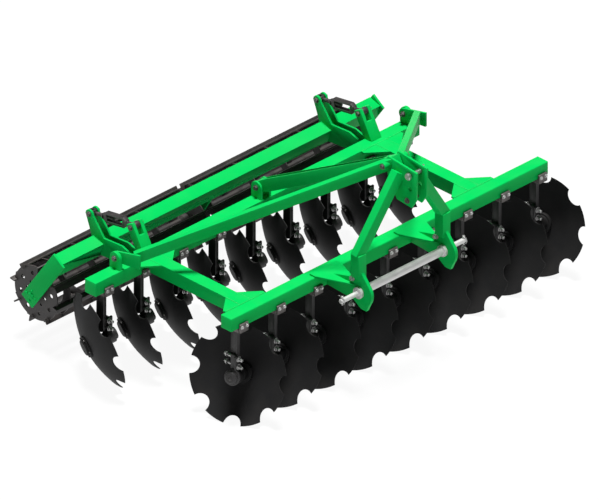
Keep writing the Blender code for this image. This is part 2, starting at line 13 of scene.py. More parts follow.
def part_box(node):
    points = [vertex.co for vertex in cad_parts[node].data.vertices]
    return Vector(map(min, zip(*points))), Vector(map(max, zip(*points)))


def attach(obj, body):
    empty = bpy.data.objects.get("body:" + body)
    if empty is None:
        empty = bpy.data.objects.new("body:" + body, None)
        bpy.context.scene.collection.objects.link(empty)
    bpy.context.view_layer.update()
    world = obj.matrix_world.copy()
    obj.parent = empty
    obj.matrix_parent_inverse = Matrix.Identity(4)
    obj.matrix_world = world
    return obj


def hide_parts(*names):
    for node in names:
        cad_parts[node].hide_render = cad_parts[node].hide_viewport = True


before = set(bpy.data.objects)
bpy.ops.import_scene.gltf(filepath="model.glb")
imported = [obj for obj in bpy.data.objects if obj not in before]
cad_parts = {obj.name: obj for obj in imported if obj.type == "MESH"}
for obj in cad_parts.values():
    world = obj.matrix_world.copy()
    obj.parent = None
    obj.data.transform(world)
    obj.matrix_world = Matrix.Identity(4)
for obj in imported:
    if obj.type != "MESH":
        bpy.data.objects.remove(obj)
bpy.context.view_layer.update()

# ---------------------------------------------------------------- floor, light and camera
# A white studio floor that runs out of sight and is lit from below, so it glows evenly and takes hardly any
# shadow. A strong lamp straight overhead lights what lies flat, and the floor's glow reaches the upright
# faces. The camera looks down from the front right corner without perspective.
FLOOR_WHITE = (0.06, 0.06, 0.06)
FLOOR_GLOW = 0.93
ROOM_LIGHT = 0.08
OVERHEAD_LIGHT = 5.5
LAMP_SPREAD = 14
LOOK_AT = (0.688, -0.704, 0.982)
LOOK_ALONG = Vector((-0.61237, 0.61237, -0.5))
VIEW_WIDTH = 3.174

bpy.ops.object.select_all(action="DESELECT")
bpy.ops.mesh.primitive_plane_add(size=60.0, location=(0.0, 0.0, 0.0))
floor = bpy.context.object
floor.name = "studio_floor"
floor_paint = bpy.data.materials.new("studio_floor_paint")
floor_paint.use_nodes = True
floor_shader = floor_paint.node_tree.nodes["Principled BSDF"]
floor_shader.inputs["Base Color"].default_value = (*FLOOR_WHITE, 1.0)
floor_shader.inputs["Roughness"].default_value = 0.9
floor_shader.inputs["Specular IOR Level"].default_value = 0.0
floor_shader.inputs["Emission Color"].default_value = (1.0, 1.0, 1.0, 1.0)
floor_shader.inputs["Emission Strength"].default_value = FLOOR_GLOW
floor.data.materials.append(floor_paint)

world = bpy.data.worlds.new("studio_room")
bpy.context.scene.world = world
world.use_nodes = True
world.node_tree.nodes["Background"].inputs["Color"].default_value = (1.0, 1.0, 1.0, 1.0)
world.node_tree.nodes["Background"].inputs["Strength"].default_value = ROOM_LIGHT

bpy.ops.object.light_add(type="SUN", location=(0.0, 0.0, 6.0))
overhead = bpy.context.object
overhead.name = "overhead_lamp"
overhead.data.energy = OVERHEAD_LIGHT
overhead.data.angle = math.radians(LAMP_SPREAD)

bpy.ops.object.camera_add(location=Vector(LOOK_AT) - LOOK_ALONG * 9.0)
camera = bpy.context.object
camera.name = "front_corner_camera"
camera.rotation_euler = LOOK_ALONG.to_track_quat("-Z", "Y").to_euler()
camera.data.type = "ORTHO"
camera.data.ortho_scale = VIEW_WIDTH
camera.data.clip_end = 100.0
bpy.context.scene.camera = camera
bpy.context.scene.view_settings.view_transform = "Standard"

# ---------------------------------------------------------------- painted frame
# Square steel tube and cut plate, welded up and sprayed with green two-coat enamel. The tube has rolled
# corners, the plates have their cut edges ground, and the enamel is thin and a little lighter on both.
ENAMEL = (0.002, 0.500, 0.092)
ENAMEL_EDGE = (0.008, 0.600, 0.150)
ENAMEL_SHADE = (0.001, 0.450, 0.080)
TUBE_CORNER = 0.006
PLATE_CORNER = 0.0022
BEAM_SIDE = 0.080

beam_low, beam_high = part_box("front_beam")
pin_low, pin_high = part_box("top_link_pin")
BEAM_X = (beam_low.x + beam_high.x) / 2
MIDDLE_Y = (pin_low.y + pin_high.y) / 2
BEAM_TOP = beam_high.z
rear_low, rear_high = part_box("rear_beam")
REAR_X = rear_low.x + BEAM_SIDE / 2 - BEAM_X


def on(x, y, z):
    """A point given from the front beam's centre, the hitch's middle plane and the beams' top."""
    return Vector((BEAM_X + x, MIDDLE_Y + y, BEAM_TOP + z))


def node_group(name, inputs, outputs):
    """An empty shader group with its named inputs and outputs."""
    group = bpy.data.node_groups.new(name, "ShaderNodeTree")
    for label, kind, value in inputs:
        socket = group.interface.new_socket(label, in_out="INPUT", socket_type=kind)
        if value is not None:
            socket.default_value = value
    for label, kind in outputs:
        group.interface.new_socket(label, in_out="OUTPUT", socket_type=kind)
    return group, group.nodes.new("NodeGroupInput"), group.nodes.new("NodeGroupOutput")


def wire(tree, kind, feeds=None, **settings):
    """Add a node, set its properties, and give its inputs a value or a link each."""
    made = tree.nodes.new(kind)
    for key, value in settings.items():
        setattr(made, key, value)
    for key, value in (feeds or {}).items():
        if isinstance(value, bpy.types.NodeSocket):
            tree.links.new(value, made.inputs[key])
        else:
            made.inputs[key].default_value = value
    return made


def build_edge_wear():
    """Where an arris has been rubbed: one on the edges, broken up by noise, and nothing on the flats."""
    group, given, out = node_group(
        "edge_wear",
        [("Vector", "NodeSocketVector", None), ("Reach", "NodeSocketFloat", 0.004),
         ("Breakup", "NodeSocketFloat", 40.0), ("Amount", "NodeSocketFloat", 0.5)],
        [("Mask", "NodeSocketFloat")])
    rounded = wire(group, "ShaderNodeBevel", {"Radius": given.outputs["Reach"]}, samples=4)
    plain = wire(group, "ShaderNodeNewGeometry")
    facing = wire(group, "ShaderNodeVectorMath", {0: rounded.outputs[0], 1: plain.outputs["Normal"]},
                  operation="DOT_PRODUCT")
    edge = wire(group, "ShaderNodeMapRange", {"Value": facing.outputs["Value"], "From Min": 0.995,
                                              "From Max": 0.80, "To Min": 0.0, "To Max": 1.0})
    rough = wire(group, "ShaderNodeTexNoise", {"Vector": given.outputs["Vector"],
                                               "Scale": given.outputs["Breakup"], "Detail": 4.0})
    broken = wire(group, "ShaderNodeMapRange", {"Value": rough.outputs["Fac"], "From Min": 0.38,
                                                "From Max": 0.62})
    both = wire(group, "ShaderNodeMath", {0: edge.outputs[0], 1: broken.outputs[0]}, operation="MULTIPLY")
    level = wire(group, "ShaderNodeMath", {0: both.outputs[0], 1: given.outputs["Amount"]},
                 operation="MULTIPLY", use_clamp=True)
    group.links.new(level.outputs[0], out.inputs["Mask"])
    return group


def build_mottle():
    """Soft uneven patches over a surface, with the fine height of a sprayed or cast skin."""
    group, given, out = node_group(
        "mottle",
        [("Vector", "NodeSocketVector", None), ("Patch Scale", "NodeSocketFloat", 6.0),
         ("Skin Scale", "NodeSocketFloat", 600.0), ("Contrast", "NodeSocketFloat", 0.5)],
        [("Patches", "NodeSocketFloat"), ("Skin", "NodeSocketFloat")])
    patches = wire(group, "ShaderNodeTexNoise", {"Vector": given.outputs["Vector"],
                                                 "Scale": given.outputs["Patch Scale"],
                                                 "Detail": 5.0, "Roughness": 0.6})
    centred = wire(group, "ShaderNodeMath", {0: patches.outputs["Fac"], 1: 0.5}, operation="SUBTRACT")
    spread = wire(group, "ShaderNodeMath", {0: centred.outputs[0], 1: given.outputs["Contrast"]},
                  operation="MULTIPLY")
    lifted = wire(group, "ShaderNodeMath", {0: spread.outputs[0], 1: 0.5}, operation="ADD", use_clamp=True)
    skin = wire(group, "ShaderNodeTexNoise", {"Vector": given.outputs["Vector"],
                                              "Scale": given.outputs["Skin Scale"], "Detail": 2.0})
    group.links.new(lifted.outputs[0], out.inputs["Patches"])
    group.links.new(skin.outputs["Fac"], out.inputs["Skin"])
    return group


def build_dust():
    """Fine dry soil that settles on faces that look up and gathers in blotches."""
    group, given, out = node_group(
        "settled_dust",
        [("Vector", "NodeSocketVector", None), ("Scale", "NodeSocketFloat", 9.0),
         ("Amount", "NodeSocketFloat", 0.1)],
        [("Mask", "NodeSocketFloat")])
    geometry = wire(group, "ShaderNodeNewGeometry")
    split = wire(group, "ShaderNodeSeparateXYZ", {0: geometry.outputs["Normal"]})
    upward = wire(group, "ShaderNodeMapRange", {"Value": split.outputs["Z"], "From Min": 0.2,
                                                "From Max": 1.0, "To Min": 0.25, "To Max": 1.0})
    blotch = wire(group, "ShaderNodeTexNoise", {"Vector": given.outputs["Vector"],
                                                "Scale": given.outputs["Scale"], "Detail": 6.0})
    shaped = wire(group, "ShaderNodeMapRange", {"Value": blotch.outputs["Fac"], "From Min": 0.42,
                                                "From Max": 0.72})
    both = wire(group, "ShaderNodeMath", {0: upward.outputs[0], 1: shaped.outputs[0]}, operation="MULTIPLY")
    level = wire(group, "ShaderNodeMath", {0: both.outputs[0], 1: given.outputs["Amount"]},
                 operation="MULTIPLY", use_clamp=True)
    group.links.new(level.outputs[0], out.inputs["Mask"])
    return group


EDGE_WEAR, MOTTLE, DUST = build_edge_wear(), build_mottle(), build_dust()
SOIL = (0.300, 0.230, 0.160, 1.0)


def mixed(tree, factor, first, second):
    """The colour between two colours, as a socket."""
    mix = wire(tree, "ShaderNodeMix", {0: factor, 6: first, 7: second}, data_type="RGBA")
    return mix.outputs[2]


def coated_metal(name, body, shade, edge, rough, metal=0.0, coat=0.0, shine=0.5, patch=6.0, skin=600.0,
                 skin_height=0.00004, reach=0.004, wear=0.5, dust=0.08, contrast=1.6):
    """A painted or scaled metal finish: patches in its colour, rubbed arrises, a fine skin and dust."""
    material = bpy.data.materials.new(name)
    material.use_nodes = True
    tree = material.node_tree
    shader = tree.nodes["Principled BSDF"]
    place = wire(tree, "ShaderNodeTexCoord").outputs["Object"]
    mottle = wire(tree, "ShaderNodeGroup", node_tree=MOTTLE)
    worn = wire(tree, "ShaderNodeGroup", node_tree=EDGE_WEAR)
    dusty = wire(tree, "ShaderNodeGroup", node_tree=DUST)
    for group, values in ((mottle, {"Patch Scale": patch, "Skin Scale": skin, "Contrast": contrast}),
                          (worn, {"Reach": reach, "Amount": wear}), (dusty, {"Amount": dust})):
        tree.links.new(place, group.inputs["Vector"])
        for key, value in values.items():
            group.inputs[key].default_value = value
    colour = mixed(tree, mottle.outputs["Patches"], (*shade, 1.0), (*body, 1.0))
    colour = mixed(tree, worn.outputs["Mask"], colour, (*edge, 1.0))
    colour = mixed(tree, dusty.outputs["Mask"], colour, SOIL)
    tree.links.new(colour, shader.inputs["Base Color"])
    dull = wire(tree, "ShaderNodeMapRange", {"Value": mottle.outputs["Patches"], "To Min": rough - 0.06,
                                             "To Max": rough + 0.06})
    duller = wire(tree, "ShaderNodeMath", {0: dull.outputs[0], 1: dusty.outputs["Mask"]}, operation="ADD",
                  use_clamp=True)
    tree.links.new(duller.outputs[0], shader.inputs["Roughness"])
    relief = wire(tree, "ShaderNodeBump", {"Strength": 0.5, "Distance": skin_height,
                                           "Height": mottle.outputs["Skin"]})
    tree.links.new(relief.outputs[0], shader.inputs["Normal"])
    shader.inputs["Metallic"].default_value = metal
    shader.inputs["Specular IOR Level"].default_value = shine
    shader.inputs["Coat Weight"].default_value = coat
    shader.inputs["Coat Roughness"].default_value = 0.18
    return material


green_enamel = coated_metal("green_enamel", ENAMEL, ENAMEL_SHADE, ENAMEL_EDGE, 0.46, coat=0.03,
                            shine=0.03, wear=0.55, dust=0.02)


def settle(piece, body, finish, slot, *stands_for):
    """Give a finished piece its finish and its body, and hide the frame nodes it stands for. The slot is not
    used.
    """
    if finish is not None:
        piece.data.materials.clear()
        piece.data.materials.append(finish)
    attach(piece, body)
    if stands_for:
        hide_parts(*stands_for)
    return piece


def only(piece):
    """Make this the one selected and active object."""
    bpy.ops.object.select_all(action="DESELECT")
    piece.select_set(True)
    bpy.context.view_layer.objects.active = piece


def apply_all(piece):
    """Apply every modifier, in order."""
    only(piece)
    for step in list(piece.modifiers):
        bpy.ops.object.modifier_apply(modifier=step.name)


def welded_copy(node_name, new_name):
    """The frame node's shape as a clean mesh: joined at its corners, with its flat faces whole again."""
    piece = bpy.data.objects.new(new_name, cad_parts[node_name].data.copy())
    bpy.context.scene.collection.objects.link(piece)
    only(piece)
    bpy.ops.object.mode_set(mode="EDIT")
    bpy.ops.mesh.select_all(action="SELECT")
    bpy.ops.mesh.remove_doubles(threshold=0.00002)
    bpy.ops.mesh.dissolve_limited(angle_limit=math.radians(0.6))
    bpy.ops.object.mode_set(mode="OBJECT")
    return piece


def rounded(piece, width, segments=3, angle=32.0):
    """Round every arris of a piece."""
    bevel = piece.modifiers.new("arrises", "BEVEL")
    bevel.width = width
    bevel.segments = segments
    bevel.limit_method = "ANGLE"
    bevel.angle_limit = math.radians(angle)
    bevel.harden_normals = False
    apply_all(piece)
    bpy.ops.object.shade_smooth_by_angle(angle=math.radians(38))
    return piece


def painted(node_name, new_name, corner, body="frame"):
    piece = rounded(welded_copy(node_name, new_name), corner)
    return settle(piece, body, green_enamel, "green_paint", node_name)


painted("front_beam", "front_beam_tube", TUBE_CORNER)
painted("rear_beam", "rear_beam_tube", PLATE_CORNER)
for side in ("left", "right"):
    painted(f"side_member_{side}", f"side_member_tube_{side}", PLATE_CORNER)
    painted(f"hitch_plate_{side}", f"hitch_plate_{side}_cut", PLATE_CORNER)
    painted(f"mast_{side}", f"mast_{side}_fabrication", PLATE_CORNER)
    painted(f"stay_{side}", f"stay_{side}_tube", PLATE_CORNER)
    painted(f"roller_bracket_{side}", f"roller_bracket_{side}_cut", PLATE_CORNER)
    painted(f"roller_arm_{side}", f"roller_arm_{side}_plate", PLATE_CORNER, "roller_frame")
painted("roller_frame", "roller_frame_fabrication", PLATE_CORNER, "roller_frame")

# ---------------------------------------------------------------- discs
# Dished blades of hardened boron steel, pressed, with eight half-round notches and an edge ground from the
# back. Each is bolted through its middle to a turned hub flange. The blades leave the works in black paint.
DISC_RADIUS = 0.280
DISC_DEPTH = 0.075
DISC_WALL = 0.006
CUTTING_EDGE = 0.0022
NOTCH_COUNT = 8
NOTCH_RADIUS = 0.050
HUB_RADIUS = 0.064
HUB_BACK = -0.096
COLLAR_RADIUS, COLLAR_TOP = 0.058, -0.048
BODY_RADIUS, BODY_TOP = 0.043, 0.006
NECK_RADIUS = 0.028
NECK_END = 0.044
GANG_ANGLE = math.radians(21.0)
CAMBER = math.radians(16.5)
DISC_COUNT = 9
DISC_PITCH = 0.280
FIRST_DISC = {"front": (-0.012, -0.940, -0.3985), "rear": (REAR_X - 0.012, -1.2024, -0.3985)}
HOLLOW_SIDE = {"front": -1, "rear": 1}

disc_black = coated_metal("disc_black", (0.0165, 0.0165, 0.0170), (0.0125, 0.0125, 0.0130),
                          (0.045, 0.044, 0.043), 0.58, metal=0.0, shine=0.10, patch=9.0, skin=1500.0,
                          skin_height=0.00003,
                          reach=0.003, wear=0.6, dust=0.02, contrast=1.2)
zinc_plate = coated_metal("zinc_plate", (0.52, 0.52, 0.51), (0.40, 0.40, 0.40), (0.66, 0.66, 0.65), 0.34,
                          metal=0.85, patch=30.0, skin=2400.0, skin_height=0.00002, reach=0.0015, wear=0.5,
                          dust=0.05)
oiled_steel = coated_metal("oiled_steel", (0.105, 0.098, 0.098), (0.060, 0.056, 0.056), (0.30, 0.29, 0.28),
                           0.42, metal=0.7, patch=24.0, skin=1800.0, skin_height=0.00003, reach=0.002,
                           wear=0.7, dust=0.06)


def spun(name, profile, steps):
    """A solid turned about Z: its half section (radius, height) is drawn point by point, then spun round."""
    bpy.ops.object.select_all(action="DESELECT")
    bpy.ops.mesh.primitive_plane_add(size=0.01)
    piece = bpy.context.object
    piece.name = name
    bpy.ops.object.mode_set(mode="EDIT")
    bpy.ops.mesh.merge(type="CENTER")
    bpy.ops.mesh.select_all(action="SELECT")
    bpy.ops.transform.translate(value=(profile[0][0], 0.0, profile[0][1]))
    for (r0, z0), (r1, z1) in zip(profile, profile[1:]):
        bpy.ops.mesh.extrude_region_move(TRANSFORM_OT_translate={"value": (r1 - r0, 0.0, z1 - z0)})
    bpy.ops.mesh.select_all(action="SELECT")
    bpy.ops.mesh.spin(steps=steps, angle=2 * math.pi, center=(0, 0, 0), axis=(0, 0, 1))
    bpy.ops.mesh.select_all(action="SELECT")
    bpy.ops.mesh.remove_doubles(threshold=0.00001)
    bpy.ops.mesh.normals_make_consistent(inside=False)
    bpy.ops.object.mode_set(mode="OBJECT")
    bpy.ops.object.shade_smooth_by_angle(angle=math.radians(30))
    return piece


def cut(piece, cutter):
    """Take the cutter's shape out of the piece, and drop the cutter."""
    step = piece.modifiers.new("cut", "BOOLEAN")
    step.operation = "DIFFERENCE"
    step.solver = "EXACT"
    step.object = cutter
    apply_all(piece)
    bpy.data.objects.remove(cutter, do_unlink=True)
    return piece


def joined(name, pieces):
    """Several meshes as one object."""
    bpy.ops.object.select_all(action="DESELECT")
    for piece in pieces:
        piece.select_set(True)
    bpy.context.view_layer.objects.active = pieces[0]
    if len(pieces) > 1:
        bpy.ops.object.join()
    pieces[0].name = name
    return pieces[0]


def cylinder(name, start, end, radius, sides=32, chamfer=0.0):
    """A turned pin or tube between two points, with its ends chamfered."""
    start, end = Vector(start), Vector(end)
    bpy.ops.object.select_all(action="DESELECT")
    bpy.ops.mesh.primitive_cylinder_add(vertices=sides, radius=radius, depth=(end - start).length)
    piece = bpy.context.object
    piece.name = name
    if chamfer:
        bpy.ops.object.mode_set(mode="EDIT")
        mesh = bmesh.from_edit_mesh(piece.data)
        for edge in mesh.edges:
            edge.select_set(abs(edge.verts[0].co.z - edge.verts[1].co.z) < 1e-6)
        mesh.select_flush_mode()
        bpy.ops.mesh.bevel(offset=chamfer, segments=2)
        bpy.ops.object.mode_set(mode="OBJECT")
    turn = (end - start).to_track_quat("Z", "Y").to_matrix().to_4x4()
    piece.data.transform(Matrix.Translation((start + end) / 2) @ turn)
    bpy.ops.object.shade_smooth_by_angle(angle=math.radians(30))
    return piece


def copied(piece, name, move):
    """A copy with a mesh of its own, moved in its mesh, so that its object stays at the origin."""
    twin = bpy.data.objects.new(name, piece.data.copy())
    bpy.context.scene.collection.objects.link(twin)
    twin.data.transform(move)
    return twin


def dropped(*pieces):
    for piece in pieces:
        bpy.data.objects.remove(piece, do_unlink=True)


# The two ends of every bolt on the machine: a hexagon head on its washer, and a nut with the thread's end
# through it. Both are modelled once, one unit across, and copied to their places at their own sizes.
def hexagon(name, depth):
    bpy.ops.object.select_all(action="DESELECT")
    bpy.ops.mesh.primitive_cylinder_add(vertices=6, radius=1.0, depth=depth,
                                        location=(0, 0, 0.16 + depth / 2))
    piece = bpy.context.object
    bpy.ops.object.transform_apply(location=True)
    bpy.ops.object.mode_set(mode="EDIT")
    mesh = bmesh.from_edit_mesh(piece.data)
    for face in mesh.faces:
        face.select_set(face.normal.z > 0.9)
    bmesh.update_edit_mesh(piece.data)
    bpy.ops.mesh.inset(thickness=0.14, depth=0.0)
    bpy.ops.transform.translate(value=(0, 0, 0.08))
    bpy.ops.object.mode_set(mode="OBJECT")
    washer = cylinder("washer", (0, 0, 0), (0, 0, 0.17), 1.28, 24, 0.04)
    return joined(name, [piece, washer])


bolt_head = hexagon("bolt_head", 0.62)
thread_end = spun("thread_end", [(0.0, 1.5), (0.45, 1.5)] + [
    (0.45 + 0.10 * (i % 2), 1.45 - 0.075 * i) for i in range(1, 12)] + [(0.45, 0.5), (0.0, 0.5)], 16)
bolt_nut = joined("bolt_nut", [hexagon("nut", 0.78), thread_end])


def ends_of(bolts):
    """Heads and nuts for bolts given as (head's seat, direction out of it, grip, half width, nut or not)."""
    made = []
    for seat, out, grip, half, nutted in bolts:
        out = Vector(out).normalized()
        turn = out.to_track_quat("Z", "Y").to_matrix().to_4x4()
        size = Matrix.Scale(half, 4)
        made.append(copied(bolt_head, "head", Matrix.Translation(seat) @ turn @ size))
        if nutted:
            back = (-out).to_track_quat("Z", "Y").to_matrix().to_4x4()
            made.append(copied(bolt_nut, "nut", Matrix.Translation(Vector(seat) - out * grip) @ back @ size))
    return made


def spin_axis(hollow_side):
    """The disc's axis, out of its hollow side."""
    return Vector((math.sin(GANG_ANGLE) * math.cos(CAMBER),
                   hollow_side * math.cos(GANG_ANGLE) * math.cos(CAMBER), math.sin(CAMBER)))


def disc_attitude(hollow_side):
    axis = spin_axis(hollow_side)
    level = Vector((0.0, 0.0, 1.0)).cross(axis).normalized()
    return Matrix((level, axis.cross(level), axis)).transposed().to_4x4()


def disc_place(row, number):
    x, y, z = FIRST_DISC[row]
    return on(x, y + DISC_PITCH * number, z)


def dish(radius):
    return -DISC_DEPTH * (1 - (radius / DISC_RADIUS) ** 2)


hollow = [(r, dish(r) + DISC_WALL / 2)
          for r in (COLLAR_RADIUS, 0.090, 0.120, 0.150, 0.180, 0.210, 0.240, 0.262)]
back = [(r, dish(r) - DISC_WALL / 2) for r in (0.262, 0.240, 0.210, 0.180, 0.150, 0.120, 0.090, HUB_RADIUS)]
section = [(0.0, NECK_END), (NECK_RADIUS - 0.003, NECK_END), (NECK_RADIUS, NECK_END - 0.003),
           (NECK_RADIUS, BODY_TOP + 0.002), (NECK_RADIUS + 0.003, BODY_TOP), (BODY_RADIUS - 0.003, BODY_TOP),
           (BODY_RADIUS, BODY_TOP - 0.003), (BODY_RADIUS, COLLAR_TOP + 0.003),
           (BODY_RADIUS + 0.003, COLLAR_TOP),
           (COLLAR_RADIUS - 0.003, COLLAR_TOP), (COLLAR_RADIUS, COLLAR_TOP - 0.003)] + hollow
section += [(DISC_RADIUS, 0.003), (DISC_RADIUS, 0.003 - CUTTING_EDGE)] + back
section += [(HUB_RADIUS, HUB_BACK + 0.016), (HUB_RADIUS - 0.003, HUB_BACK + 0.012),
            (0.050, HUB_BACK + 0.012), (0.046, HUB_BACK + 0.003), (0.043, HUB_BACK), (0.0, HUB_BACK)]
blade = spun("disc_blade", section, 96)
notches = [cylinder("notch", (DISC_RADIUS * math.cos(a), DISC_RADIUS * math.sin(a), -0.06),
                    (DISC_RADIUS * math.cos(a), DISC_RADIUS * math.sin(a), 0.06), NOTCH_RADIUS, 40)
           for a in (2 * math.pi * i / NOTCH_COUNT for i in range(NOTCH_COUNT))]
blade = cut(blade, joined("notches", notches))
bpy.ops.object.shade_smooth_by_angle(angle=math.radians(26))
blade.data.materials.append(disc_black)
flange_bolts = joined("flange_bolts", ends_of(
    [((0.0555 * math.cos(a), 0.0555 * math.sin(a), HUB_BACK + 0.0125), (0, 0, -1), 0.03, 0.0055, False)
     for a in (2 * math.pi * (i + 0.5) / 5 for i in range(5))]))
flange_bolts.data.materials.append(oiled_steel)
blade = joined("disc_blade", [blade, flange_bolts])
for row in ("front", "rear"):
    for i in range(DISC_COUNT):
        place = Matrix.Translation(disc_place(row, i)) @ disc_attitude(HOLLOW_SIDE[row])
        disc = copied(blade, f"{row}_disc_blade_{i + 1}", place)
        settle(disc, f"{row}_disc_{i + 1}", None, "disc_black", f"{row}_disc_{i + 1}")
dropped(blade)

# ---------------------------------------------------------------- disc stands
# Each disc hangs from its own leg. A forged clamp is bolted under the beam and grips its lower front arris, a
# flat leg with a rounded foot runs down from it, and two long bolts fix a cast hub carrier to the leg. The
# carrier's bearing housing is closed by a turned cap.
LEG_LINE = 0.015
LEG_FOOT = 0.074
BEAM_UNDER = 0.3185
LONG_BOLTS = (0.124, 0.078)
cast_black = coated_metal("cast_black", (0.034, 0.033, 0.034), (0.022, 0.021, 0.022), (0.090, 0.088, 0.085),
                          0.50, patch=26.0, skin=520.0, skin_height=0.00012, reach=0.003, wear=0.6,
                          dust=0.05)
clamp_steel = coated_metal("clamp_steel", (0.150, 0.138, 0.134), (0.085, 0.078, 0.076),
                           (0.34, 0.33, 0.32), 0.42, metal=0.55, patch=30.0, skin=1400.0,
                           skin_height=0.00005, reach=0.002, wear=0.7, dust=0.05)


def slab(name, low, high, corner, segments=2):
    """A rectangular piece between two corners, with its arrises rounded."""
    low, high = Vector(low), Vector(high)
    bpy.ops.object.select_all(action="DESELECT")
    bpy.ops.mesh.primitive_cube_add(size=1.0, location=(low + high) / 2)
    piece = bpy.context.object
    piece.name = name
    piece.scale = high - low
    bpy.ops.object.transform_apply(location=True, scale=True)
    bpy.ops.object.mode_set(mode="EDIT")
    bpy.ops.mesh.select_all(action="SELECT")
    bpy.ops.mesh.bevel(offset=corner, segments=segments)
    bpy.ops.object.mode_set(mode="OBJECT")
    bpy.ops.object.shade_smooth_by_angle(angle=math.radians(38))
    return piece


def cut_plate(name, outline, low, high, corner, across="Y"):
    """A plate cut to an outline of (x, z) points, or (x, y) points where it lies across Z."""
    bpy.ops.object.select_all(action="DESELECT")
    bpy.ops.mesh.primitive_plane_add(size=0.01)
    piece = bpy.context.object
    piece.name = name
    bpy.ops.object.mode_set(mode="EDIT")
    bpy.ops.mesh.merge(type="CENTER")
    bpy.ops.mesh.select_all(action="SELECT")
    points = [(a, low, b) if across == "Y" else (a, b, low) for a, b in outline]
    bpy.ops.transform.translate(value=points[0])
    for here, there in zip(points, points[1:]):
        bpy.ops.mesh.extrude_region_move(
            TRANSFORM_OT_translate={"value": [q - p for p, q in zip(here, there)]})
    bpy.ops.mesh.select_all(action="SELECT")
    bpy.ops.mesh.edge_face_add()
    rise = (0, high - low, 0) if across == "Y" else (0, 0, high - low)
    bpy.ops.mesh.extrude_region_move(TRANSFORM_OT_translate={"value": rise})
    bpy.ops.mesh.select_all(action="SELECT")
    bpy.ops.mesh.normals_make_consistent(inside=False)
    bpy.ops.object.mode_set(mode="OBJECT")
    return rounded(piece, corner, 2)


def arc(x, z, radius, first, last, steps):
    return [(x + radius * math.cos(math.radians(first + (last - first) * i / steps)),
             z + radius * math.sin(math.radians(first + (last - first) * i / steps)))
            for i in range(steps + 1)]


def swept(name, points, radius, sides=10):
    """A round bar bent through points."""
    curve = bpy.data.curves.new(name, "CURVE")
    curve.dimensions = "3D"
    curve.bevel_depth = radius
    curve.bevel_resolution = sides // 4
    curve.use_fill_caps = True
    curve.resolution_u = 8
    line = curve.splines.new("BEZIER")
    line.bezier_points.add(len(points) - 1)
    for knot, point in zip(line.bezier_points, points):
        knot.co = point
        knot.handle_left_type = knot.handle_right_type = "AUTO"
    piece = bpy.data.objects.new(name, curve)
    bpy.context.scene.collection.objects.link(piece)
    only(piece)
    bpy.ops.object.convert(target="MESH")
    piece = bpy.context.object
    bpy.ops.object.shade_smooth_by_angle(angle=math.radians(50))
    return piece


def in_finish(pieces, finish):
    for piece in pieces:
        piece.data.materials.clear()
        piece.data.materials.append(finish)
    return pieces


# One stand, about its disc's centre, for the front row: its hollow side is -Y.
axis = spin_axis(-1)
leg_y = -LEG_LINE
leg = cut_plate("leg", [(-0.030, BEAM_UNDER - 0.02), (-0.030, LEG_FOOT)]
                + arc(-0.003, LEG_FOOT, 0.027, 180, 360, 12) + [(0.024, BEAM_UNDER - 0.02)],
                leg_y - 0.009, leg_y + 0.009, 0.0025)
rib = cut_plate("rib", [(0.012, BEAM_UNDER - 0.03), (0.012, LEG_FOOT)]
                + arc(0.010, LEG_FOOT, 0.014, 270, 360, 5)
                + [(0.024, BEAM_UNDER - 0.03)], leg_y - 0.015, leg_y - 0.008, 0.0015)
near, far = NECK_END + 0.0008, NECK_END + 0.0575
housing = spun("housing", [(0.0, far - 0.003), (0.011, far - 0.003), (0.014, far), (0.027, far),
                           (0.033, far - 0.004), (0.035, far - 0.010), (0.035, far - 0.016),
                           (0.043, far - 0.018), (0.0455, far - 0.022), (0.0455, near + 0.006),
                           (0.042, near), (0.0, near)], 48)
housing.data.transform(disc_attitude(-1))
carrier = cut_plate("carrier", [(-0.012, LONG_BOLTS[0] + 0.018), (-0.012, 0.040), (-0.006, 0.016),
                                (0.022, 0.010), (0.040, 0.022), (0.040, LONG_BOLTS[0] + 0.010),
                                (0.032, LONG_BOLTS[0] + 0.018)], leg_y - 0.030, leg_y - 0.0155, 0.004)
gusset = cut_plate("carrier_gusset", [(0.028, LONG_BOLTS[0] + 0.018), (0.028, 0.000), (0.040, 0.004),
                                      (0.040, LONG_BOLTS[0] + 0.018)], leg_y - 0.046, leg_y - 0.020, 0.003)
cast = in_finish([leg, rib, housing, carrier, gusset], cast_black)
clamp = slab("clamp", (-0.027, leg_y - 0.036, BEAM_UNDER - 0.026),
             (0.051, leg_y + 0.036, BEAM_UNDER - 0.0003), 0.004)
lip = slab("clamp_lip", (0.0532, leg_y - 0.031, BEAM_UNDER - 0.026),
           (0.0652, leg_y + 0.031, BEAM_UNDER + 0.026), 0.003)
toe = slab("clamp_toe", (0.040, leg_y - 0.031, BEAM_UNDER - 0.026),
           (0.062, leg_y + 0.031, BEAM_UNDER - 0.010), 0.003)
clamp_parts = in_finish([clamp, lip, toe], clamp_steel)
lip_bolts = in_finish(ends_of([((0.0652, leg_y + d, BEAM_UNDER + 0.008), (1, 0, 0), 0.02, 0.0085, False)
                               for d in (-0.018, 0.018)]
                              + [((-0.010, leg_y + d, BEAM_UNDER - 0.026), (0, 0, -1), 0.02, 0.0085, False)
                                 for d in (-0.025, 0.025)]), zinc_plate)
long_bolts = []
for z in LONG_BOLTS:
    long_bolts.append(cylinder("shank", (-0.062, leg_y - 0.020, z), (0.068, leg_y - 0.020, z), 0.0088, 16,
                               0.001))
    long_bolts += ends_of([((0.0415, leg_y - 0.020, z), (1, 0, 0), 0.0795, 0.0135, True)])
in_finish(long_bolts, zinc_plate)
stand = joined("disc_stand", cast + clamp_parts + lip_bolts + long_bolts)
mirror = stand.data.copy()
other_stand = bpy.data.objects.new("other_stand", mirror)
bpy.context.scene.collection.objects.link(other_stand)
mirror.transform(Matrix.Scale(-1, 4, (0, 1, 0)))
mirror.flip_normals()
